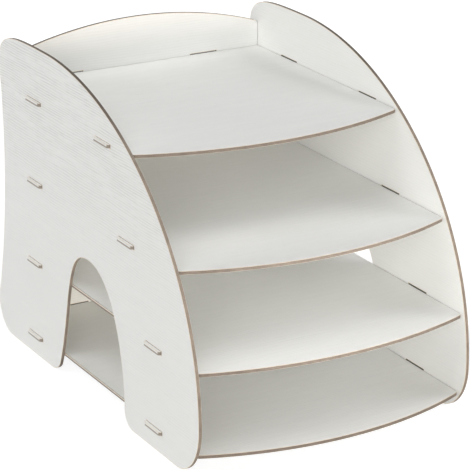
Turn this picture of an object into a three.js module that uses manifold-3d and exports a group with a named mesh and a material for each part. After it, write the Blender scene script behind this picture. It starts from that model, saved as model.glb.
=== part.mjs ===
// Plug-together desk document organizer: two side panels, a back panel and four shelves.
// All boards are cut from one flat stock and hold each other by tabs in slots, with no fasteners.
// Millimetres, +Z up, +X to the right, +Y to the back. The origin is on the desk, under the middle
// of the organizer's box. Distances called station are measured back from the frontmost point of
// the side panels, and heights are measured up from the desk.

import * as THREE from 'three';
import { mergeVertices } from 'three/addons/utils/BufferGeometryUtils.js';
import Module from 'manifold-3d';

// Board stock and fits
const boardThickness = 3;
const clearWidth = 250;
const fitGap = 0.3;

// Tabs and the slots that take them
const tabLength = 26.4;
const tabReach = 2.7;
const tabCornerRadius = 2.3;
const slotHeadroom = 0.8;

// Side panel, front sweep and toe: two quarter ellipses that meet at the frontmost point
const sweepDepth = 266.6;
const sweepRise = 240.3;
const toeHeight = 45.3;
const toeDepth = 38.4;

// Side panel, shoulder behind the crown of the sweep
const shoulderDrop = 30.6;
const shoulderRound = 29;
const shoulderLean = 2.1;
const crownFlat = 72;

// Side panel, hollow back edge
const waistStation = 355.2;
const waistHeight = 183;
const waistRadius = 529;

// Side panel, heel at the back of the rear foot
const heelHeight = 35;
const heelBulge = 15;
const heelDepth = 27;
const heelRound = 22;

// Side panel, arch between the two feet
const archHeight = 125.5;
const archTopStation = 190.5;
const archTopReach = 45;
const archFrontStation = 127.9;
const archFrontRound = 15.5;
const archFrontSpringHeight = 14;
const archFrontRise = 46;
const archBackStation = 250.5;
const archBackRound = 17.5;
const archBackSpringHeight = 10;
const archBackRise = 60;
const archBackLean = 24;

// Back panel, with an arched top edge. It stands in front of the narrowest place of the waist.
const backPanelInset = 10.5;
const backPanelCrownHeight = 283;
const backPanelCrownRise = 20.5;
const backPanelCornerRadius = 5;
const backPanelFootHeight = 2;
const backSlotSpacing = 135.4;

// Shelves: their front corners lie just behind the front edge of the side panels
const shelfCornerInset = 3.5;
const shelfCornerRadius = 5;

// Each shelf: height of its upper face, bow of its front edge, how far the middle of its front side
// tabs is behind the front corners, and how far the middle of its rear side tabs is ahead of the
// back panel
const topShelfHeight = 239.5;
const topShelfBow = 25.5;
const topShelfFrontTab = 45.4;
const topShelfRearTab = 55.7;

const upperShelfHeight = 165.5;
const upperShelfBow = 26.5;
const upperShelfFrontTab = 80.2;
const upperShelfRearTab = 53.7;

const lowerShelfHeight = 90.5;
const lowerShelfBow = 22;
const lowerShelfFrontTab = 66.3;
const lowerShelfRearTab = 48.7;

const bottomShelfHeight = 20;
const bottomShelfBow = 26;
const bottomShelfFrontTab = 65;
const bottomShelfRearTab = 45.7;

// Finish and fineness
const faceColour = 0xdcdcd8;
const faceRoughness = 0.55;
const sweepSteps = 72;
const curveSteps = 24;
const cornerSteps = 5;
const samePointDistance = 1e-4;
const arcFullness = 0.55;

const quarterTurn = Math.PI / 2;
const crownHeight = toeHeight + sweepRise;
const shoulderHeight = crownHeight - shoulderDrop;
const backPanelStation = waistStation - backPanelInset;

const wasm = await Module();
wasm.setup();

function ellipsePoints(centreX, centreY, radiusX, radiusY, from, to, steps) {
  const clockwise = to < from;
  return new THREE.EllipseCurve(centreX, centreY, radiusX, radiusY, from, to, clockwise).getPoints(steps);
}

function bezierPoints(corners, steps) {
  const points = corners.map(([x, y]) => new THREE.Vector2(x, y));
  return new THREE.CubicBezierCurve(...points).getPoints(steps);
}

// A round from start to end, along tangents that meet at corner
function roundPoints(start, corner, end, steps) {
  const along = ([fromX, fromY]) => [
    fromX + (corner[0] - fromX) * arcFullness,
    fromY + (corner[1] - fromY) * arcFullness,
  ];
  return bezierPoints([start, along(start), along(end), end], steps);
}

// Joins stretches of points into one closed shape, without the points that two stretches share.
function shapeFrom(stretches) {
  const points = [];
  for (const point of stretches.flat()) {
    const last = points[points.length - 1];
    if (!last || last.distanceTo(point) > samePointDistance) points.push(point);
  }
  if (points[0].distanceTo(points[points.length - 1]) < samePointDistance) points.pop();
  return new THREE.Shape(points);
}

// Station of the front edge of a side panel at a height on the sweep or on the toe
function frontEdgeStation(height) {
  if (height > toeHeight) {
    return sweepDepth * (1 - Math.sqrt(1 - ((height - toeHeight) / sweepRise) ** 2));
  }
  return toeDepth * (1 - Math.sqrt(1 - (1 - height / toeHeight) ** 2));
}

function waistStationAt(height) {
  return waistStation + waistRadius - Math.sqrt(waistRadius ** 2 - (height - waistHeight) ** 2);
}

function shelf(name, topHeight, bow, frontTab, rearTab) {
  const cornerStation = frontEdgeStation(topHeight) + shelfCornerInset;
  return {
    name,
    topHeight,
    bow,
    cornerStation,
    frontSlotStation: cornerStation + frontTab,
    rearSlotStation: backPanelStation - rearTab,
  };
}

const shelves = [
  shelf('top_shelf', topShelfHeight, topShelfBow, topShelfFrontTab, topShelfRearTab),
  shelf('upper_shelf', upperShelfHeight, upperShelfBow, upperShelfFrontTab, upperShelfRearTab),
  shelf('lower_shelf', lowerShelfHeight, lowerShelfBow, lowerShelfFrontTab, lowerShelfRearTab),
  shelf('bottom_shelf', bottomShelfHeight, bottomShelfBow, bottomShelfFrontTab, bottomShelfRearTab),
];

function toSolid(geometry) {
  const bare = geometry.clone();
  bare.deleteAttribute('normal');
  bare.deleteAttribute('uv');
  const merged = mergeVertices(bare);
  const vertProperties = new Float32Array(merged.attributes.position.array);
  const triVerts = new Uint32Array(merged.index.array);
  return new wasm.Manifold(new wasm.Mesh({ numProp: 3, vertProperties, triVerts }));
}

function toGeometry(solid) {
  const mesh = solid.getMesh();
  const geometry = new THREE.BufferGeometry();
  geometry.setAttribute('position', new THREE.BufferAttribute(mesh.vertProperties, 3));
  geometry.setIndex(new THREE.BufferAttribute(mesh.triVerts, 1));
  const faceted = geometry.toNonIndexed();
  faceted.computeVertexNormals();
  return faceted;
}

// A block that cuts the slot for one tab through an upright board. It is as long and as high as
// the tab with its play, lies round middle, and runs out of both faces of the board.
function slotCutter(middle, topHeight) {
  const length = tabLength + 2 * fitGap;
  const height = boardThickness + fitGap + slotHeadroom;
  const cutter = new THREE.BoxGeometry(length, height, 2 * boardThickness);
  const centreHeight = topHeight + slotHeadroom - height / 2;
  return cutter.translate(middle, centreHeight, boardThickness / 2);
}

function cutSlots(geometry, cutters) {
  return toGeometry(cutters.reduce((solid, cutter) => solid.subtract(toSolid(cutter)), toSolid(geometry)));
}

function extrudeBoard(shape) {
  return new THREE.ExtrudeGeometry(shape, { depth: boardThickness, bevelEnabled: false, steps: 1 });
}

function faceMaterial() {
  return new THREE.MeshStandardMaterial({ color: faceColour, roughness: faceRoughness, metalness: 0 });
}

// Outline of a side panel, with x as station and y as height, counter-clockwise from the toe
function sidePanelShape() {
  const heelTop = waistStationAt(heelHeight);
  const heelLean = (heelTop - waistStationAt(heelHeight + heelBulge)) / heelBulge;

  const toe = ellipsePoints(toeDepth, toeHeight, toeDepth, toeHeight, Math.PI, 1.5 * Math.PI, curveSteps);
  const frontFootTip = ellipsePoints(
    archFrontStation - archFrontRound, archFrontSpringHeight,
    archFrontRound, archFrontSpringHeight, -quarterTurn, 0, cornerSteps * 2,
  );
  const archFront = bezierPoints([
    [archFrontStation, archFrontSpringHeight],
    [archFrontStation, archFrontSpringHeight + archFrontRise],
    [archTopStation - archTopReach, archHeight],
    [archTopStation, archHeight],
  ], curveSteps);
  const archBack = bezierPoints([
    [archTopStation, archHeight],
    [archTopStation + archTopReach, archHeight],
    [archBackStation - archBackLean, archBackSpringHeight + archBackRise],
    [archBackStation, archBackSpringHeight],
  ], curveSteps);
  const rearFootTip = roundPoints(
    [archBackStation, archBackSpringHeight],
    [archBackStation + (archBackSpringHeight * archBackLean) / archBackRise, 0],
    [archBackStation + archBackRound, 0],
    cornerSteps * 2,
  );
  const heel = bezierPoints([
    [heelTop - heelDepth, 0],
    [heelTop - heelDepth + heelRound, 0],
    [heelTop + heelLean * heelBulge, heelHeight - heelBulge],
    [heelTop, heelHeight],
  ], curveSteps);
  const waist = [];
  for (let step = 0; step <= curveSteps; step += 1) {
    const height = heelHeight + ((shoulderHeight - heelHeight) * step) / curveSteps;
    waist.push(new THREE.Vector2(waistStationAt(height), height));
  }
  const shoulder = bezierPoints([
    [waistStationAt(shoulderHeight), shoulderHeight],
    [waistStationAt(shoulderHeight) - shoulderLean, shoulderHeight + shoulderRound],
    [sweepDepth + crownFlat, crownHeight],
    [sweepDepth, crownHeight],
  ], curveSteps);
  const sweep = ellipsePoints(
    sweepDepth, toeHeight, sweepDepth, sweepRise, quarterTurn, Math.PI, sweepSteps,
  );
  return shapeFrom([toe, frontFootTip, archFront, archBack, rearFootTip, heel, waist, shoulder, sweep]);
}

// A side panel stands in the plane across X, with its inner face at innerX.
function sidePanel(name, innerX) {
  const cutters = shelves.flatMap(({ rearSlotStation, frontSlotStation, topHeight }) => [
    slotCutter(rearSlotStation, topHeight),
    slotCutter(frontSlotStation, topHeight),
  ]);
  const panel = new THREE.Mesh(cutSlots(extrudeBoard(sidePanelShape()), cutters), faceMaterial());
  panel.name = name;
  panel.rotation.set(quarterTurn, quarterTurn, 0);
  panel.position.x = innerX < 0 ? innerX - boardThickness : innerX;
  return panel;
}

function backPanelShape() {
  const halfWidth = clearWidth / 2 - fitGap;
  const radius = (halfWidth ** 2 + backPanelCrownRise ** 2) / (2 * backPanelCrownRise);
  const centreHeight = backPanelCrownHeight - radius;
  const cornerX = halfWidth - backPanelCornerRadius;
  const cornerHeight = centreHeight + Math.sqrt((radius - backPanelCornerRadius) ** 2 - cornerX ** 2);
  const topStart = Math.atan2(cornerHeight - centreHeight, cornerX);
  const foot = [
    new THREE.Vector2(-halfWidth, backPanelFootHeight),
    new THREE.Vector2(halfWidth, backPanelFootHeight),
  ];
  const rightCorner = ellipsePoints(
    cornerX, cornerHeight, backPanelCornerRadius, backPanelCornerRadius, 0, topStart, cornerSteps,
  );
  const crown = ellipsePoints(0, centreHeight, radius, radius, topStart, Math.PI - topStart, sweepSteps);
  const leftCorner = ellipsePoints(
    -cornerX, cornerHeight, backPanelCornerRadius, backPanelCornerRadius,
    Math.PI - topStart, Math.PI, cornerSteps,
  );
  return shapeFrom([foot, rightCorner, crown, leftCorner]);
}

function backPanel() {
  const cutters = shelves.flatMap(({ topHeight }) => [
    slotCutter(-backSlotSpacing / 2, topHeight),
    slotCutter(backSlotSpacing / 2, topHeight),
  ]);
  const panel = new THREE.Mesh(cutSlots(extrudeBoard(backPanelShape()), cutters), faceMaterial());
  panel.name = 'back_panel';
  panel.rotation.x = quarterTurn;
  panel.position.y = backPanelStation + boardThickness;
  return panel;
}

// Points round a tab that stands out of an edge. The edge runs through middle along the unit
// vector along, and the tab points along the unit vector outward.
function tabPoints(middle, along, outward, reach) {
  const radius = tabCornerRadius;
  const at = (alongEdge, out) => new THREE.Vector2(
    middle.x + along.x * alongEdge + outward.x * out,
    middle.y + along.y * alongEdge + outward.y * out,
  );
  const points = [at(-tabLength / 2, 0)];
  for (let step = 0; step <= cornerSteps; step += 1) {
    const turn = (quarterTurn * step) / cornerSteps;
    points.push(at(-tabLength / 2 + radius * (1 - Math.cos(turn)), reach - radius * (1 - Math.sin(turn))));
  }
  for (let step = cornerSteps; step >= 0; step -= 1) {
    const turn = (quarterTurn * step) / cornerSteps;
    points.push(at(tabLength / 2 - radius * (1 - Math.cos(turn)), reach - radius * (1 - Math.sin(turn))));
  }
  points.push(at(tabLength / 2, 0));
  return points;
}

// Outline of a shelf seen from above, with x across and y as station, counter-clockwise
function shelfShape({ bow, cornerStation, frontSlotStation, rearSlotStation }) {
  const halfWidth = clearWidth / 2 - fitGap;
  const backEdge = backPanelStation - fitGap;
  const throughReach = fitGap + boardThickness + tabReach;
  const bowRadius = (halfWidth ** 2 + bow ** 2) / (2 * bow);
  const bowCentre = cornerStation - bow + bowRadius;
  const roundX = halfWidth - shelfCornerRadius;
  const roundStation = bowCentre - Math.sqrt((bowRadius - shelfCornerRadius) ** 2 - roundX ** 2);
  const bowEnd = Math.atan2(roundStation - bowCentre, roundX);

  const front = ellipsePoints(0, bowCentre, bowRadius, bowRadius, -Math.PI - bowEnd, bowEnd, sweepSteps);
  const rightRound = ellipsePoints(
    roundX, roundStation, shelfCornerRadius, shelfCornerRadius, bowEnd, 0, cornerSteps,
  );
  const leftRound = ellipsePoints(
    -roundX, roundStation, shelfCornerRadius, shelfCornerRadius, -Math.PI, -Math.PI - bowEnd, cornerSteps,
  );
  const toBack = new THREE.Vector2(0, 1);
  const toFront = new THREE.Vector2(0, -1);
  const toRight = new THREE.Vector2(1, 0);
  const toLeft = new THREE.Vector2(-1, 0);
  const rightTabs = [frontSlotStation, rearSlotStation].map(
    (station) => tabPoints(new THREE.Vector2(halfWidth, station), toBack, toRight, throughReach),
  );
  const backTabs = [backSlotSpacing / 2, -backSlotSpacing / 2].map(
    (middleX) => tabPoints(new THREE.Vector2(middleX, backEdge), toLeft, toBack, throughReach),
  );
  const leftTabs = [rearSlotStation, frontSlotStation].map(
    (station) => tabPoints(new THREE.Vector2(-halfWidth, station), toFront, toLeft, throughReach),
  );
  const rightBackCorner = [new THREE.Vector2(halfWidth, backEdge)];
  const leftBackCorner = [new THREE.Vector2(-halfWidth, backEdge)];
  return shapeFrom([
    front, rightRound, ...rightTabs, rightBackCorner, ...backTabs, leftBackCorner, ...leftTabs, leftRound,
  ]);
}

function shelfBoard(sizes) {
  const board = new THREE.Mesh(extrudeBoard(shelfShape(sizes)), faceMaterial());
  board.name = sizes.name;
  board.position.z = sizes.topHeight - boardThickness;
  return board;
}

// The boards stand together at their stations, and are moved so that the middle of the whole
// depth, from the most forward shelf to the heels, is at the origin.
function organizer() {
  const frame = new THREE.Group();
  frame.add(sidePanel('left_side_panel', -clearWidth / 2));
  frame.add(sidePanel('right_side_panel', clearWidth / 2));
  frame.add(backPanel());
  for (const sizes of shelves) frame.add(shelfBoard(sizes));

  const frontStation = Math.min(...shelves.map(({ cornerStation, bow }) => cornerStation - bow));
  const heelStation = Math.max(...sidePanelShape().getPoints().map((point) => point.x));
  frame.position.y = -(frontStation + heelStation) / 2;

  const group = new THREE.Group();
  group.add(frame);
  return group;
}

export default organizer();
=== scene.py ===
import math

import bpy
from bpy.props import FloatProperty, FloatVectorProperty, PointerProperty
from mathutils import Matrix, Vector


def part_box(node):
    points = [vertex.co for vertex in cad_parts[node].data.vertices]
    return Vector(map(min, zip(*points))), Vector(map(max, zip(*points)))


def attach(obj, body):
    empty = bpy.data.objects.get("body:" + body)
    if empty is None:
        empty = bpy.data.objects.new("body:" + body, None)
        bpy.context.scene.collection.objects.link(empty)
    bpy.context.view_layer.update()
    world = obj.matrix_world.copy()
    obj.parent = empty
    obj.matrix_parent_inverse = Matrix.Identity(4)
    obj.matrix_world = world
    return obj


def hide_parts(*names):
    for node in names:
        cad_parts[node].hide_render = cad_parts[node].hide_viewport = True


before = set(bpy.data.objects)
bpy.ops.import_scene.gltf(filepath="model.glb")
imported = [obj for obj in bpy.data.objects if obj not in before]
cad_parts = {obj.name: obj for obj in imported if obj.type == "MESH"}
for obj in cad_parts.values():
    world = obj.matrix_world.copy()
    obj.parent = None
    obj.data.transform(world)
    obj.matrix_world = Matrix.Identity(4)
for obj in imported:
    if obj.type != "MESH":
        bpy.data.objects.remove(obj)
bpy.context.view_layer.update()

bl_info = {
    "name": "Desk document organizer",
    "version": (1, 0, 0),
    "blender": (4, 5, 0),
    "location": "3D View > Sidebar > Organizer",
    "description": "Dresses the boards of a plug-together desk organizer and sets its stage",
    "category": "Object",
}

BODY = "root"

X, Y, Z = 0, 1, 2

# Each board's CAD node, with the name of the piece that stands for it
SIDE_PANELS = {"left_side_panel": "left_side_board", "right_side_panel": "right_side_board"}
BACK_PANEL = {"back_panel": "back_board"}
SHELVES = {
    "top_shelf": "top_shelf_board",
    "upper_shelf": "upper_shelf_board",
    "lower_shelf": "lower_shelf_board",
    "bottom_shelf": "bottom_shelf_board",
}

# Points closer than this are merged, and faces that turn less than this are joined
MERGE_DISTANCE = 1e-5
FLAT_ANGLE = math.radians(0.05)

# Faces that turn less than this are shaded as one
SMOOTH_ANGLE = math.radians(20)

# Cosines to the board's thickness over which a face is a flat side, and over which it has foil
FLAT_SIDE_COSINE = 0.999
FOIL_SIDE_COSINE = 0.5

ARRIS_SEGMENTS = 2

# A board's material slots
OUTER_FOIL, INNER_FOIL, CUT_EDGE = 0, 1, 2

# Room around a tab in which the rim of its slot lies, and how far from the back the rear tabs reach
TAB_ROOM = 0.002
TAB_ZONE = 0.12

# Width of the strip on a shelf beside a side board that is painted dark, as painted shade in the joint
JOINT_WIDTH = 0.00065

# Grain lines wander by this many spacings, over this many spacings
GRAIN_WANDER = 1.6
WANDER_WIDTH = 6

# A stretch in which the lines are strong is this many lengths long and spacings wide
STRETCH_LENGTH = 0.6
STRETCH_WIDTH = 1.5

# Values of the wave across the lines and of the stretches between which a line gets its depth
WAVE_RANGE = (-0.2, 1.0)
STRETCH_RANGE = (0.2, 0.65)

# A pore is this many times shorter and narrower than a line, and shows between these noise values
PORE_SHORTER = 5
PORE_NARROWER = 3
PORE_RANGE = (0.5, 0.8)

# Parts of the lines and of the pores in the foil's relief, and how much rougher its bottom is
LINE_SHARE = 0.7
PORE_SHARE = 0.3
GRAIN_ROUGHNESS = 0.12

# Heights between which the grain on the outside of the side boards grows stronger
GRAIN_HEIGHTS = (0.11, 0.25)

# The core's patches are this many fibres wide. Fibres and patches add up to its scorching in
# these parts, and it goes from light to dark between these sums
PATCH_FIBRES = 20
FIBRE_SHARE = 0.6
PATCH_SHARE = 0.4
SCORCH_RANGE = (0.38, 0.64)

# Heights between which the cut edges of the upright boards turn darker, and how far patches
# move these heights
CHARRED_HEIGHTS = (0.25, 0.285)
CHARRED_WANDER = 0.02

# Roughness of the core, how much more its fibres have, and how many times flatter than wide they are
CORE_ROUGHNESS = 0.72
FIBRE_ROUGHNESS = 0.2
FIBRE_FLATNESS = 8

# How much of the charred colour darkens the shelves' core, as painted shade that takes back the near
# reflector's light on their front edges
FRONT_EDGE_SHADE = 0.35

# How much of the tab end colour a shelf's side edges and its tabs each add, as painted light
PAINTED_LIGHT_SHARE = 0.5

# Cosines to the side between which a shelf's cut edge turns into a side edge or a tab's end, where
# painted light falls
SIDE_EDGE_COSINES = (0.85, 1.0)

# Places through a shelf, from -1 to 1, between which a tab's end turns to the foil colour and
# between which a side edge turns pale, both painted highlights high on these ends
TAB_END_TOP = (-0.1, 0.2)
SIDE_EDGE_TOP = (-0.1, 0.4)

# Point attributes that the materials read
CUT_WARMTH = "cut_warmth"
THROUGH_BOARD = "through_board"

# Each soft sun's azimuth from the front to the left, its elevation and its breadth, in degrees
KEY_SUN = (40, 5, 50)
LEFT_SUN = (90, 60, 45)
RIGHT_SUN = (-70, 40, 45)
BACK_SUN = (180, 5, 20)

# What the camera sees of the floor: its own glow, and the grey on top of it that takes shadows
PAPER_GLOW = 0.87
PAPER_GREY = 0.3
WHITE = (1.0, 1.0, 1.0, 1.0)


class BoardProperties(bpy.types.PropertyGroup):
    """Sizes and colours of the boards"""

    arris_radius: FloatProperty(
        name="Arris radius", description="Rounding of the edge between a face and a cut edge",
        default=0.00025, unit="LENGTH")
    warm_margin: FloatProperty(
        name="Warm margin", description="Width of the strip along a cut that the heat has yellowed",
        default=0.0009, unit="LENGTH")
    slot_play: FloatProperty(
        name="Slot play", description="Height taken off the slots of the left side board",
        default=0.00065, unit="LENGTH")
    foil_colour: FloatVectorProperty(
        name="Foil colour", description="White foil on both faces of every board",
        default=(0.9, 0.902, 0.88), size=3, subtype="COLOR")
    # Painted shade: the foil is this darker colour in the bottom of the embossed grain lines
    foil_shade_colour: FloatVectorProperty(
        name="Foil shade colour", description="White foil in the bottom of the grain lines",
        default=(0.72, 0.722, 0.70), size=3, subtype="COLOR")
    margin_colour: FloatVectorProperty(
        name="Margin colour", description="Foil beside a cut, and the pale layers of a cut edge",
        default=(0.86, 0.78, 0.67), size=3, subtype="COLOR")
    foil_roughness: FloatProperty(
        name="Foil roughness", description="Roughness of the white foil",
        default=0.46, subtype="FACTOR")
    grain_spacing: FloatProperty(
        name="Grain spacing", description="Distance between embossed grain lines",
        default=0.0024, unit="LENGTH")
    grain_length: FloatProperty(
        name="Grain length", description="Length of an embossed grain line",
        default=0.06, unit="LENGTH")
    grain_depth: FloatProperty(
        name="Grain depth", description="Depth of the embossed grain lines",
        default=0.00018, unit="LENGTH")
    inner_grain_share: FloatProperty(
        name="Inner grain share",
        description="Grain of the back and inside the side boards beside that outside the side boards",
        default=0.2, subtype="FACTOR")
    low_grain_share: FloatProperty(
        name="Low grain share", description="Grain low on the side boards beside that at their crown",
        default=0.3, subtype="FACTOR")
    cross_grain_share: FloatProperty(
        name="Cross grain share", description="Grain of the shelves beside that of the side boards",
        default=0.4, subtype="FACTOR")
    core_colour: FloatVectorProperty(
        name="Core colour", description="Light fibres of the brown core at a cut edge",
        default=(0.255, 0.21, 0.17), size=3, subtype="COLOR")
    scorch_colour: FloatVectorProperty(
        name="Scorch colour", description="Dark fibres of the brown core at a cut edge",
        default=(0.165, 0.133, 0.107), size=3, subtype="COLOR")
    # On the shelves this colour is mixed in as painted shade
    charred_colour: FloatVectorProperty(
        name="Charred colour",
        description="Core along the crown of the upright boards, and in part that of the shelves",
        default=(0.105, 0.085, 0.067), size=3, subtype="COLOR")
    # Painted light: the core on a shelf's tabs and side edges, which face the lamps sideways, is
    # lighter
    lit_side_colour: FloatVectorProperty(
        name="Tab end colour", description="Paler core on the tabs and the side edges of shelves",
        default=(0.42, 0.37, 0.31), size=3, subtype="COLOR")
    # Painted shade: the foil of a shelf in the slots and along the joints is painted this dark colour
    slot_shade_colour: FloatVectorProperty(
        name="Slot shade colour", description="Foil of a shelf in the slots and beside the side boards",
        default=(0.12, 0.11, 0.095), size=3, subtype="COLOR")
    core_share: FloatProperty(
        name="Core share", description="Share of the board's thickness that is brown core",
        default=0.8, subtype="FACTOR")
    fibre_size: FloatProperty(
        name="Fibre size", description="Size of the core's fibres at a cut edge",
        default=0.0004, unit="LENGTH")


class StageProperties(bpy.types.PropertyGroup):
    """Camera, lamps and floor"""

    target: FloatVectorProperty(
        name="Target", description="Point that the camera looks at",
        default=(0.0, -0.013, 0.132), size=3, subtype="TRANSLATION")
    azimuth: FloatProperty(
        name="Azimuth", description="Place of the camera round the organizer, from front to left",
        default=math.radians(29.67), subtype="ANGLE")
    elevation: FloatProperty(
        name="Elevation", description="Height of the camera over the horizon",
        default=math.radians(20.2), subtype="ANGLE")
    distance: FloatProperty(
        name="Distance", description="Distance of the camera from its target",
        default=1.975, unit="LENGTH")
    lens: FloatProperty(
        name="Lens", description="Focal length of the camera in millimetres",
        default=177.9, unit="CAMERA")
    sky_strength: FloatProperty(
        name="Sky strength", description="Light that comes evenly from all around",
        default=0.09)
    key_strength: FloatProperty(
        name="Key strength", description="Light of the low lamp on the left of the camera",
        default=2.08)
    left_strength: FloatProperty(
        name="Left strength", description="Light of the high lamp on the left",
        default=0.95)
    right_strength: FloatProperty(
        name="Right strength", description="Light of the high lamp on the right",
        default=1.2)
    back_strength: FloatProperty(
        name="Back strength", description="Light of the low lamp behind the organizer",
        default=1.2)
    far_reflector_power: FloatProperty(
        name="Far reflector power", description="Light of the low lit board in front of the trays",
        default=4.6, unit="POWER")
    far_reflector_place: FloatVectorProperty(
        name="Far reflector place", description="Middle of the low lit board",
        default=(0.0, -1.2, 0.12), size=3, subtype="TRANSLATION")
    far_reflector_size: FloatVectorProperty(
        name="Far reflector size", description="Width and height of the low lit board",
        default=(0.5, 0.12), size=2, subtype="TRANSLATION")
    far_reflector_colour: FloatVectorProperty(
        name="Far reflector colour", description="Warm light of the low lit board",
        default=(1.0, 0.87, 0.71), size=3, subtype="COLOR")
    far_reflector_spread: FloatProperty(
        name="Far reflector spread", description="Angle over which the low lit board shines",
        default=math.radians(180), subtype="ANGLE")
    near_reflector_power: FloatProperty(
        name="Near reflector power", description="Light of the small lit board close to the trays",
        default=0.115, unit="POWER")
    near_reflector_place: FloatVectorProperty(
        name="Near reflector place", description="Middle of the small lit board",
        default=(0.0, -0.4, 0.14), size=3, subtype="TRANSLATION")
    near_reflector_size: FloatVectorProperty(
        name="Near reflector size", description="Width and height of the small lit board",
        default=(0.2, 0.12), size=2, subtype="TRANSLATION")
    near_reflector_colour: FloatVectorProperty(
        name="Near reflector colour", description="White light of the small lit board",
        default=(1.0, 1.0, 1.0), size=3, subtype="COLOR")
    near_reflector_spread: FloatProperty(
        name="Near reflector spread", description="Angle over which the small lit board shines",
        default=math.radians(60), subtype="ANGLE")
    floor_size: FloatProperty(
        name="Floor size", description="Width and depth of the floor",
        default=60.0, unit="LENGTH")
    floor_colour: FloatVectorProperty(
        name="Floor colour", description="Pale floor as the object sees it",
        default=(0.88, 0.88, 0.88), size=3, subtype="COLOR")


class Value:
    """A shader socket that takes part in Python arithmetic."""

    def __init__(self, shader, socket):
        self.shader = shader
        self.socket = socket

    def _math(self, operation, first, second):
        return self.shader.node(
            "ShaderNodeMath", {"operation": operation}, {0: first, 1: second}).out()

    def __add__(self, other):
        return self._math("ADD", self, other)

    __radd__ = __add__

    def __rsub__(self, other):
        return self._math("SUBTRACT", other, self)

    def __mul__(self, other):
        return self._math("MULTIPLY", self, other)

    __rmul__ = __mul__

    def __abs__(self):
        return self._math("ABSOLUTE", self, 0.0)


class Node:
    """A shader node whose outputs are taken by name or number."""

    def __init__(self, shader, node):
        self.shader = shader
        self.node = node

    def out(self, name=0):
        return Value(self.shader, self.node.outputs[name])


class Shader:
    """The node tree of one new material or world."""

    # A Mix node has sockets for each type of data. These are the numbers of those for colours
    MIX_FACTOR, MIX_A, MIX_B, MIX_RESULT = 0, 6, 7, 2

    def __init__(self, owner):
        self.owner = owner
        owner.use_nodes = True
        self.tree = owner.node_tree
        self.tree.nodes.clear()

    def node(self, kind, settings=None, inputs=None):
        """Adds a node, makes its settings and then sets or links its inputs."""
        node = self.tree.nodes.new(kind)
        for name, value in (settings or {}).items():
            setattr(node, name, value)
        for name, value in (inputs or {}).items():
            if isinstance(value, Value):
                self.tree.links.new(value.socket, node.inputs[name])
            else:
                node.inputs[name].default_value = value
        return Node(self, node)

    def mix_colours(self, factor, first, second):
        return self.node(
            "ShaderNodeMix", {"data_type": "RGBA"},
            {self.MIX_FACTOR: factor, self.MIX_A: first, self.MIX_B: second},
        ).out(self.MIX_RESULT)

    def ramp(self, value, low, high):
        """0 below low, 1 above high and smooth between."""
        return self.node(
            "ShaderNodeMapRange", {"interpolation_type": "SMOOTHSTEP"},
            {"Value": value, "From Min": low, "From Max": high}).out("Result")

    def is_over(self, value, limit):
        """1 where the value is over the limit, else 0."""
        return self.node("ShaderNodeMath", {"operation": "GREATER_THAN"}, {0: value, 1: limit}).out()

    def noise(self, sizes, detail):
        """Noise whose features have the given sizes along X, Y and Z."""
        place = self.node("ShaderNodeTexCoord").out("Object")
        scale = [1.0 / size for size in sizes]
        stretched = self.node("ShaderNodeMapping", None, {"Vector": place, "Scale": scale}).out()
        return self.node(
            "ShaderNodeTexNoise", None,
            {"Vector": stretched, "Scale": 1.0, "Detail": detail}).out("Fac")

    def part(self, vector, axis):
        """What a vector has along one axis."""
        return self.node("ShaderNodeSeparateXYZ", None, {"Vector": vector}).out(axis)

    def coordinate(self, axis):
        """Place along one axis of the object's own coordinates."""
        return self.part(self.node("ShaderNodeTexCoord").out("Object"), axis)

    def attribute(self, name):
        return self.node("ShaderNodeAttribute", {"attribute_name": name}).out("Fac")

    def finish(self, colour, roughness, bump):
        """Ends a new material in a surface that takes these, and gives the material."""
        surface = self.node("ShaderNodeBsdfPrincipled", None, {
            "Base Color": colour,
            "Roughness": roughness,
            "Normal": bump,
        }).out()
        self.node("ShaderNodeOutputMaterial", None, {"Surface": surface})
        return self.owner


def opaque(colour):
    return (*colour, 1.0)


def grain_sizes(along, length, width):
    """Sizes of a grain feature along X, Y and Z, where the grain runs along one of them."""
    return [length if axis == along else width for axis in (X, Y, Z)]


def grain_lines(shader, along, spacing, length):
    """Embossed lines that wander a little and fade in and out: 0 on the foil and 1 in a line."""
    first, second = (shader.coordinate(axis) for axis in (X, Y, Z) if axis != along)
    across = (first + second) * (1.0 / spacing)
    wander = shader.noise(grain_sizes(along, length, spacing * WANDER_WIDTH), detail=1.0)
    turns = (across + wander * GRAIN_WANDER) * math.tau
    wave = shader.node("ShaderNodeMath", {"operation": "SINE"}, {0: turns}).out()
    stretch = grain_sizes(along, length * STRETCH_LENGTH, spacing * STRETCH_WIDTH)
    strength = shader.noise(stretch, detail=1.0)
    return shader.ramp(wave, *WAVE_RANGE) * shader.ramp(strength, *STRETCH_RANGE)


def foil_relief(shader, along, spacing, length):
    """Grain lines with short pores: 0 on the foil and 1 at their bottom."""
    lines = grain_lines(shader, along, spacing, length)
    pore = grain_sizes(along, length / PORE_SHORTER, spacing / PORE_NARROWER)
    pores = shader.ramp(shader.noise(pore, detail=0.0), *PORE_RANGE)
    return lines * LINE_SHARE + pores * PORE_SHARE


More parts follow.
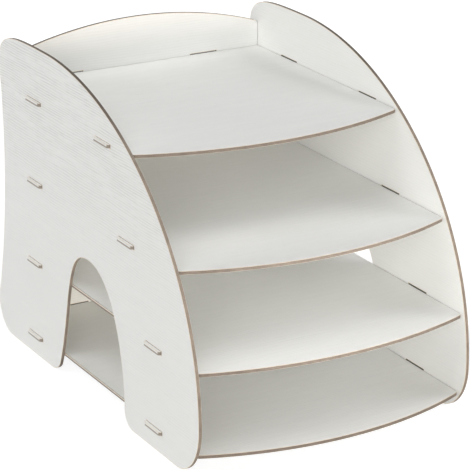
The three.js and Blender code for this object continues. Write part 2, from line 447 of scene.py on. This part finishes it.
def white_foil_material(name, grain_axis, grain_share, stronger_between=None, sooty_spans=()):
    """White wood-grain foil, with embossed lines that run along one axis.

    They may grow stronger between two heights. A shaded span is (axis, low, high), for a stretch
    in which the foil lies inside a slot of another board or meets that board, and is painted
    dark there as painted shade.
    """
    boards = bpy.context.scene.organizer_boards
    shader = Shader(bpy.data.materials.new(name))
    depth = foil_relief(shader, grain_axis, boards.grain_spacing, boards.grain_length)
    if stronger_between:
        low_share = boards.low_grain_share
        height = shader.coordinate(Z)
        depth = depth * (low_share + shader.ramp(height, *stronger_between) * (1.0 - low_share))
    # Painted shade: the grain lines are darker the deeper they are
    colour = shader.mix_colours(
        depth * grain_share, opaque(boards.foil_colour), opaque(boards.foil_shade_colour))
    warmth = shader.ramp(shader.attribute(CUT_WARMTH), 0.0, 1.0)
    colour = shader.mix_colours(warmth, colour, opaque(boards.margin_colour))
    # Painted shade inside other boards' slots and along the joints
    for axis, low, high in sooty_spans:
        place = shader.coordinate(axis)
        inside = shader.is_over(place, low) * (1.0 - shader.is_over(place, high))
        colour = shader.mix_colours(inside, colour, opaque(boards.slot_shade_colour))
    bump = shader.node(
        "ShaderNodeBump", {"invert": True},
        {"Strength": grain_share, "Distance": boards.grain_depth, "Height": depth}).out()
    return shader.finish(colour, boards.foil_roughness + depth * GRAIN_ROUGHNESS, bump)


def looks_sideways(shader):
    """1 on a side edge or a tab's end, 0 on what looks to the front or back, smooth between."""
    # Where the painted light on a shelf's ends goes
    normal = shader.node("ShaderNodeNewGeometry").out("True Normal")
    return shader.ramp(abs(shader.part(normal, X)), *SIDE_EDGE_COSINES)


def cut_edge_material(name, charred_between=None, tab_end_from=None):
    """A cut edge: a brown fibre core between two pale layers.

    It may grow darker between two heights. On a shelf, tab_end_from is the distance from the
    middle at which the tabs come out of the side boards. A shelf's core is darkened with some of
    the charred colour as painted shade, and its tabs and side edges are painted lighter as painted
    light, lightest high on the side edges, and the tabs' ends as light as the foil high up.
    """
    boards = bpy.context.scene.organizer_boards
    shader = Shader(bpy.data.materials.new(name))
    size = boards.fibre_size
    through = shader.attribute(THROUGH_BOARD)
    fibres = shader.noise([size] * 3, detail=2.0)
    patches = shader.noise([size * PATCH_FIBRES] * 3, detail=2.0)

    scorch = shader.ramp(fibres * FIBRE_SHARE + patches * PATCH_SHARE, *SCORCH_RANGE)
    core = shader.mix_colours(
        scorch, opaque(boards.core_colour), opaque(boards.scorch_colour))
    if charred_between:
        height = shader.coordinate(Z) + patches * CHARRED_WANDER
        charred = shader.ramp(height, *charred_between)
        core = shader.mix_colours(charred, core, opaque(boards.charred_colour))
    if tab_end_from:
        is_side = looks_sideways(shader)
        is_tab = shader.is_over(abs(shader.coordinate(X)), tab_end_from)
        # Painted shade: some of the charred colour darkens the whole core of a shelf
        core = shader.mix_colours(FRONT_EDGE_SHADE, core, opaque(boards.charred_colour))
        # Painted light: tabs and edges that look sideways are lighter
        painted_light = (is_tab + is_side) * PAINTED_LIGHT_SHARE
        core = shader.mix_colours(painted_light, core, opaque(boards.lit_side_colour))
        # Painted highlight high on the side edges
        side_highlight = is_side * shader.ramp(through, *SIDE_EDGE_TOP)
        core = shader.mix_colours(side_highlight, core, opaque(boards.margin_colour))

    layer = shader.ramp(abs(through), boards.core_share, 1.0)
    colour = shader.mix_colours(layer, core, opaque(boards.margin_colour))
    # Painted highlight: the tabs' ends take the foil colour high up
    if tab_end_from:
        end_colour = shader.mix_colours(
            shader.ramp(through, *TAB_END_TOP),
            opaque(boards.lit_side_colour), opaque(boards.foil_colour))
        colour = shader.mix_colours(is_side * is_tab, colour, end_colour)
    bump = shader.node(
        "ShaderNodeBump", None,
        {"Strength": 1.0, "Distance": size / FIBRE_FLATNESS, "Height": fibres}).out()
    return shader.finish(colour, CORE_ROUGHNESS + fibres * FIBRE_ROUGHNESS, bump)


def material(name, make, **choices):
    """The material of that name, made the first time it is asked for."""
    return bpy.data.materials.get(name) or make(name, **choices)


def select_only(piece):
    bpy.ops.object.select_all(action="DESELECT")
    piece.select_set(True)
    bpy.context.view_layer.objects.active = piece


def edit(*steps):
    """Runs steps in edit mode on the active piece. The selection made in object mode holds."""
    bpy.ops.object.mode_set(mode="EDIT")
    for step in steps:
        step()
    bpy.ops.object.mode_set(mode="OBJECT")


def select_faces(mesh, is_wanted):
    """Selects the faces that is_wanted picks, and nothing else."""
    bpy.context.tool_settings.mesh_select_mode = (False, False, True)
    for part in (*mesh.vertices, *mesh.edges):
        part.select = False
    for face in mesh.polygons:
        face.select = is_wanted(face)


def select_flat_sides(mesh, thickness_axis):
    select_faces(mesh, lambda face: abs(face.normal[thickness_axis]) > FLAT_SIDE_COSINE)


def copy_board(node, name):
    """A piece with a merged copy of a CAD board, each flat side in as few faces as it allows."""
    board = bpy.data.objects.new(name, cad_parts[node].data.copy())
    bpy.context.scene.collection.objects.link(board)
    select_only(board)
    bpy.ops.mesh.customdata_custom_splitnormals_clear()
    edit(
        lambda: bpy.ops.mesh.select_all(action="SELECT"),
        lambda: bpy.ops.mesh.remove_doubles(threshold=MERGE_DISTANCE),
        lambda: bpy.ops.mesh.dissolve_limited(angle_limit=FLAT_ANGLE),
    )
    return board


def tighten_slots(board, slots, play):
    """Lowers the tops of a board's slots, close over the tabs in them."""

    def is_slot_top(face):
        return face.normal.z < -FLAT_SIDE_COSINE and is_inside(face.center, slots)

    select_faces(board.data, is_slot_top)
    edit(lambda: bpy.ops.transform.translate(value=(0, 0, -play)))


def round_arrises(board, thickness_axis, radius):
    select_flat_sides(board.data, thickness_axis)
    edit(
        lambda: bpy.ops.mesh.region_to_loop(),
        lambda: bpy.ops.mesh.bevel(
            offset=radius, segments=ARRIS_SEGMENTS, affect="EDGES", clamp_overlap=False),
    )


def mark_margins(board, thickness_axis, width, is_open):
    """Insets the flat sides and stores how warm each point is from an open cut beside it."""
    select_flat_sides(board.data, thickness_axis)
    edit(lambda: bpy.ops.mesh.inset(thickness=width, use_even_offset=True))
    inner = {index for face in board.data.polygons if face.select for index in face.vertices}
    warmth = board.data.attributes.new(CUT_WARMTH, "FLOAT", "POINT")
    for index, value in enumerate(warmth.data):
        value.value = float(index not in inner and is_open(board.data.vertices[index].co))


def mark_thickness(board, thickness_axis):
    """Stores each point's place through the board: -1 on one flat side and 1 on the other."""
    places = [vertex.co[thickness_axis] for vertex in board.data.vertices]
    middle = (min(places) + max(places)) / 2
    half = (max(places) - min(places)) / 2
    through = board.data.attributes.new(THROUGH_BOARD, "FLOAT", "POINT")
    for value, place in zip(through.data, places):
        value.value = (place - middle) / half


def finish_faces(board, thickness_axis, finishes):
    """Gives the board its outer foil, its inner foil towards the middle and its cut edges."""
    board.data.materials.clear()
    for finish in finishes:
        board.data.materials.append(finish)
    for face in board.data.polygons:
        outwards = face.normal[thickness_axis] * math.copysign(1.0, face.center[thickness_axis])
        if abs(outwards) < FOIL_SIDE_COSINE:
            face.material_index = CUT_EDGE
        elif outwards < 0:
            face.material_index = INNER_FOIL
        else:
            face.material_index = OUTER_FOIL
    select_only(board)
    bpy.ops.object.shade_smooth_by_angle(angle=SMOOTH_ANGLE)


def make_boards(names, thickness_axis, finishes, is_open, tight_slots=None):
    """Makes the pieces that stand for the CAD boards in names.

    The finishes are in the order of the material slots. The heat has yellowed the foil beside a
    cut where is_open says that no other board covers it. tight_slots has the boxes of the slots
    to tighten, by CAD board.
    """
    sizes = bpy.context.scene.organizer_boards
    for node, name in names.items():
        board = copy_board(node, name)
        if tight_slots and node in tight_slots:
            tighten_slots(board, tight_slots[node], sizes.slot_play)
        round_arrises(board, thickness_axis, sizes.arris_radius)
        mark_margins(board, thickness_axis, sizes.warm_margin, is_open)
        mark_thickness(board, thickness_axis)
        finish_faces(board, thickness_axis, finishes)
        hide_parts(node)
        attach(board, BODY)


def tab_boxes():
    """The lowest and highest corner of each tab, with some room around it."""
    inner_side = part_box("right_side_panel")[0].x
    inner_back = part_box("back_panel")[0].y
    tabs = {}
    for node in SHELVES:
        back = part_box(node)[1].y
        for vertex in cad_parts[node].data.vertices:
            place = vertex.co
            if abs(place.x) > inner_side:
                is_rear = back - place.y < TAB_ZONE
                tabs.setdefault((node, place.x > 0, is_rear), []).append(place)
            elif place.y > inner_back:
                tabs.setdefault((node, "back", place.x > 0), []).append(place)
    room = Vector([TAB_ROOM] * 3)
    return [
        (Vector(map(min, *places)) - room, Vector(map(max, *places)) + room)
        for places in tabs.values()
    ]


def is_inside(place, boxes):
    """Whether a place lies in any of the boxes."""
    return any(
        all(low <= value <= high for low, value, high in zip(lowest, place, highest))
        for lowest, highest in boxes
    )


class ORGANIZER_OT_side_panels(bpy.types.Operator):
    """Makes the two curved side boards with their arches and slots"""

    bl_idname = "organizer.side_panels"
    bl_label = "Side boards"

    def execute(self, context):
        share = context.scene.organizer_boards.inner_grain_share
        finishes = (
            material(
                "outer_foil", white_foil_material,
                grain_axis=Y, grain_share=1.0, stronger_between=GRAIN_HEIGHTS),
            material("inner_foil", white_foil_material, grain_axis=Y, grain_share=share),
            material("charred_cut_edge", cut_edge_material, charred_between=CHARRED_HEIGHTS),
        )
        slots = tab_boxes()
        low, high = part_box("right_side_panel")
        middle = (low.x + high.x) / 2

        def is_open(place):
            return abs(place.x) > middle or not is_inside(place, slots)

        make_boards(SIDE_PANELS, X, finishes, is_open, {"left_side_panel": slots})
        return {"FINISHED"}


class ORGANIZER_OT_back_panel(bpy.types.Operator):
    """Makes the upright back board with its arched top edge"""

    bl_idname = "organizer.back_panel"
    bl_label = "Back board"

    def execute(self, context):
        share = context.scene.organizer_boards.inner_grain_share
        foil = material(
            "foil_grain_along_width", white_foil_material, grain_axis=X, grain_share=share)
        cut_edge = material(
            "charred_cut_edge", cut_edge_material, charred_between=CHARRED_HEIGHTS)
        slots = tab_boxes()
        low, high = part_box("back_panel")

        def is_open(place):
            meets_side = min(place.x - low.x, high.x - place.x) < TAB_ROOM
            return not meets_side and not is_inside(place, slots)

        make_boards(BACK_PANEL, Y, (foil, foil, cut_edge), is_open)
        return {"FINISHED"}


class ORGANIZER_OT_shelves(bpy.types.Operator):
    """Makes the four bow-fronted shelf boards with their tabs"""

    bl_idname = "organizer.shelves"
    bl_label = "Shelf boards"

    def execute(self, context):
        share = context.scene.organizer_boards.cross_grain_share
        side_low, side_high = (corner.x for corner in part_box("right_side_panel"))
        back_low, back_high = (corner.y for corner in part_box("back_panel"))
        # Spans of painted shade: in the side boards' slots and along their joints, and in the back
        # board's slots
        shade_from = side_low - JOINT_WIDTH
        sooty_spans = (
            (X, shade_from, side_high),
            (X, -side_high, -shade_from),
            (Y, back_low, back_high),
        )
        foil = material(
            "slotted_foil", white_foil_material,
            grain_axis=X, grain_share=share, sooty_spans=sooty_spans)
        cut_edge = material("cut_edge", cut_edge_material, tab_end_from=side_high)

        def is_open(place):
            is_front = abs(place.x) < side_low - TAB_ROOM and place.y < back_low - TAB_ROOM
            return is_front or abs(place.x) > side_high

        make_boards(SHELVES, Z, (foil, foil, cut_edge), is_open)
        return {"FINISHED"}


def direction(azimuth, elevation):
    """Unit vector towards a place at an azimuth from the front to the left, and an elevation."""
    return Vector((
        -math.sin(azimuth) * math.cos(elevation),
        -math.cos(azimuth) * math.cos(elevation),
        math.sin(elevation),
    ))


def facing(away):
    """Turn of a camera or lamp that looks against a vector, with its top up."""
    return away.to_track_quat("Z", "Y").to_euler()


def add_camera(stage):
    away = direction(stage.azimuth, stage.elevation)
    place = Vector(stage.target) + away * stage.distance
    bpy.ops.object.camera_add(location=place, rotation=facing(away))
    camera = bpy.context.object
    camera.data.lens = stage.lens
    bpy.context.scene.camera = camera


def add_soft_sun(sun, strength):
    """A lamp far away in a direction, seen across an angle."""
    azimuth, elevation, breadth = (math.radians(angle) for angle in sun)
    bpy.ops.object.light_add(type="SUN", rotation=facing(direction(azimuth, elevation)))
    lamp = bpy.context.object
    lamp.data.energy = strength
    lamp.data.angle = breadth


def add_reflector(place, size, power, colour, spread):
    """A lit board that stands upright, faces the middle and isn't seen by the camera."""
    away = Vector((place[X], place[Y], 0.0))
    bpy.ops.object.light_add(type="AREA", location=place, rotation=facing(away))
    lamp = bpy.context.object
    lamp.visible_camera = False
    lamp.data.shape = "RECTANGLE"
    lamp.data.size, lamp.data.size_y = size
    lamp.data.energy = power
    lamp.data.color = colour
    lamp.data.spread = spread


def seen_directly(shader):
    """1 for rays that show the background or its reflection, 0 for rays that light the object."""
    path = shader.node("ShaderNodeLightPath")
    shown = path.out("Is Camera Ray") + path.out("Is Glossy Ray") + path.out("Is Transmission Ray")
    return shader.node("ShaderNodeClamp", None, {"Value": shown}).out()


def make_sky(stage):
    """Even light from all around, behind which the camera sees plain white."""
    world = bpy.data.worlds.new("soft_sky")
    bpy.context.scene.world = world
    shader = Shader(world)
    strength = stage.sky_strength + seen_directly(shader) * (1.0 - stage.sky_strength)
    background = shader.node(
        "ShaderNodeBackground", None, {"Color": WHITE, "Strength": strength}).out()
    shader.node("ShaderNodeOutputWorld", None, {"Surface": background})


def floor_material(stage):
    """Pale floor that the camera sees as white paper, a little darker where a shadow falls."""
    shader = Shader(bpy.data.materials.new("white_floor"))
    plain = shader.node("ShaderNodeBsdfDiffuse", None, {"Color": opaque(stage.floor_colour)}).out()
    lit = shader.node("ShaderNodeBsdfDiffuse", None, {"Color": opaque([PAPER_GREY] * 3)}).out()
    glow = shader.node("ShaderNodeEmission", None, {"Strength": PAPER_GLOW}).out()
    paper = shader.node("ShaderNodeAddShader", None, {0: lit, 1: glow}).out()
    surface = shader.node(
        "ShaderNodeMixShader", None, {0: seen_directly(shader), 1: plain, 2: paper}).out()
    shader.node("ShaderNodeOutputMaterial", None, {"Surface": surface})
    return shader.owner


def add_floor(stage):
    bpy.ops.object.select_all(action="DESELECT")
    bpy.ops.mesh.primitive_plane_add(size=stage.floor_size)
    floor = bpy.context.object
    floor.name = "floor"
    floor.data.materials.append(floor_material(stage))


class ORGANIZER_OT_stage(bpy.types.Operator):
    """Makes the camera, the lamps, the sky and the floor"""

    bl_idname = "organizer.stage"
    bl_label = "Stage"

    def execute(self, context):
        stage = context.scene.organizer_stage
        add_camera(stage)
        add_soft_sun(KEY_SUN, stage.key_strength)
        add_soft_sun(LEFT_SUN, stage.left_strength)
        add_soft_sun(RIGHT_SUN, stage.right_strength)
        add_soft_sun(BACK_SUN, stage.back_strength)
        add_reflector(
            stage.far_reflector_place, stage.far_reflector_size,
            stage.far_reflector_power, stage.far_reflector_colour, stage.far_reflector_spread)
        add_reflector(
            stage.near_reflector_place, stage.near_reflector_size,
            stage.near_reflector_power, stage.near_reflector_colour, stage.near_reflector_spread)
        make_sky(stage)
        add_floor(stage)
        context.scene.view_settings.view_transform = "Standard"
        return {"FINISHED"}


class ORGANIZER_PT_panel(bpy.types.Panel):
    """Lists the organizer's sizes, colours and operators"""

    bl_label = "Document organizer"
    bl_idname = "ORGANIZER_PT_panel"
    bl_space_type = "VIEW_3D"
    bl_region_type = "UI"
    bl_category = "Organizer"

    def draw(self, context):
        for group in (context.scene.organizer_boards, context.scene.organizer_stage):
            for name in group.bl_rna.properties.keys():
                if name not in ("rna_type", "name"):
                    self.layout.prop(group, name)
        for operator in OPERATORS:
            self.layout.operator(operator.bl_idname)


OPERATORS = (
    ORGANIZER_OT_side_panels,
    ORGANIZER_OT_back_panel,
    ORGANIZER_OT_shelves,
    ORGANIZER_OT_stage,
)
CLASSES = (BoardProperties, StageProperties, *OPERATORS, ORGANIZER_PT_panel)


def register():
    for item in CLASSES:
        bpy.utils.register_class(item)
    bpy.types.Scene.organizer_boards = PointerProperty(type=BoardProperties)
    bpy.types.Scene.organizer_stage = PointerProperty(type=StageProperties)


def unregister():
    del bpy.types.Scene.organizer_stage
    del bpy.types.Scene.organizer_boards
    for item in reversed(CLASSES):
        bpy.utils.unregister_class(item)


def main():
    register()
    bpy.ops.organizer.stage()
    bpy.ops.organizer.side_panels()
    bpy.ops.organizer.back_panel()
    bpy.ops.organizer.shelves()


if __name__ == "__main__":
    main()
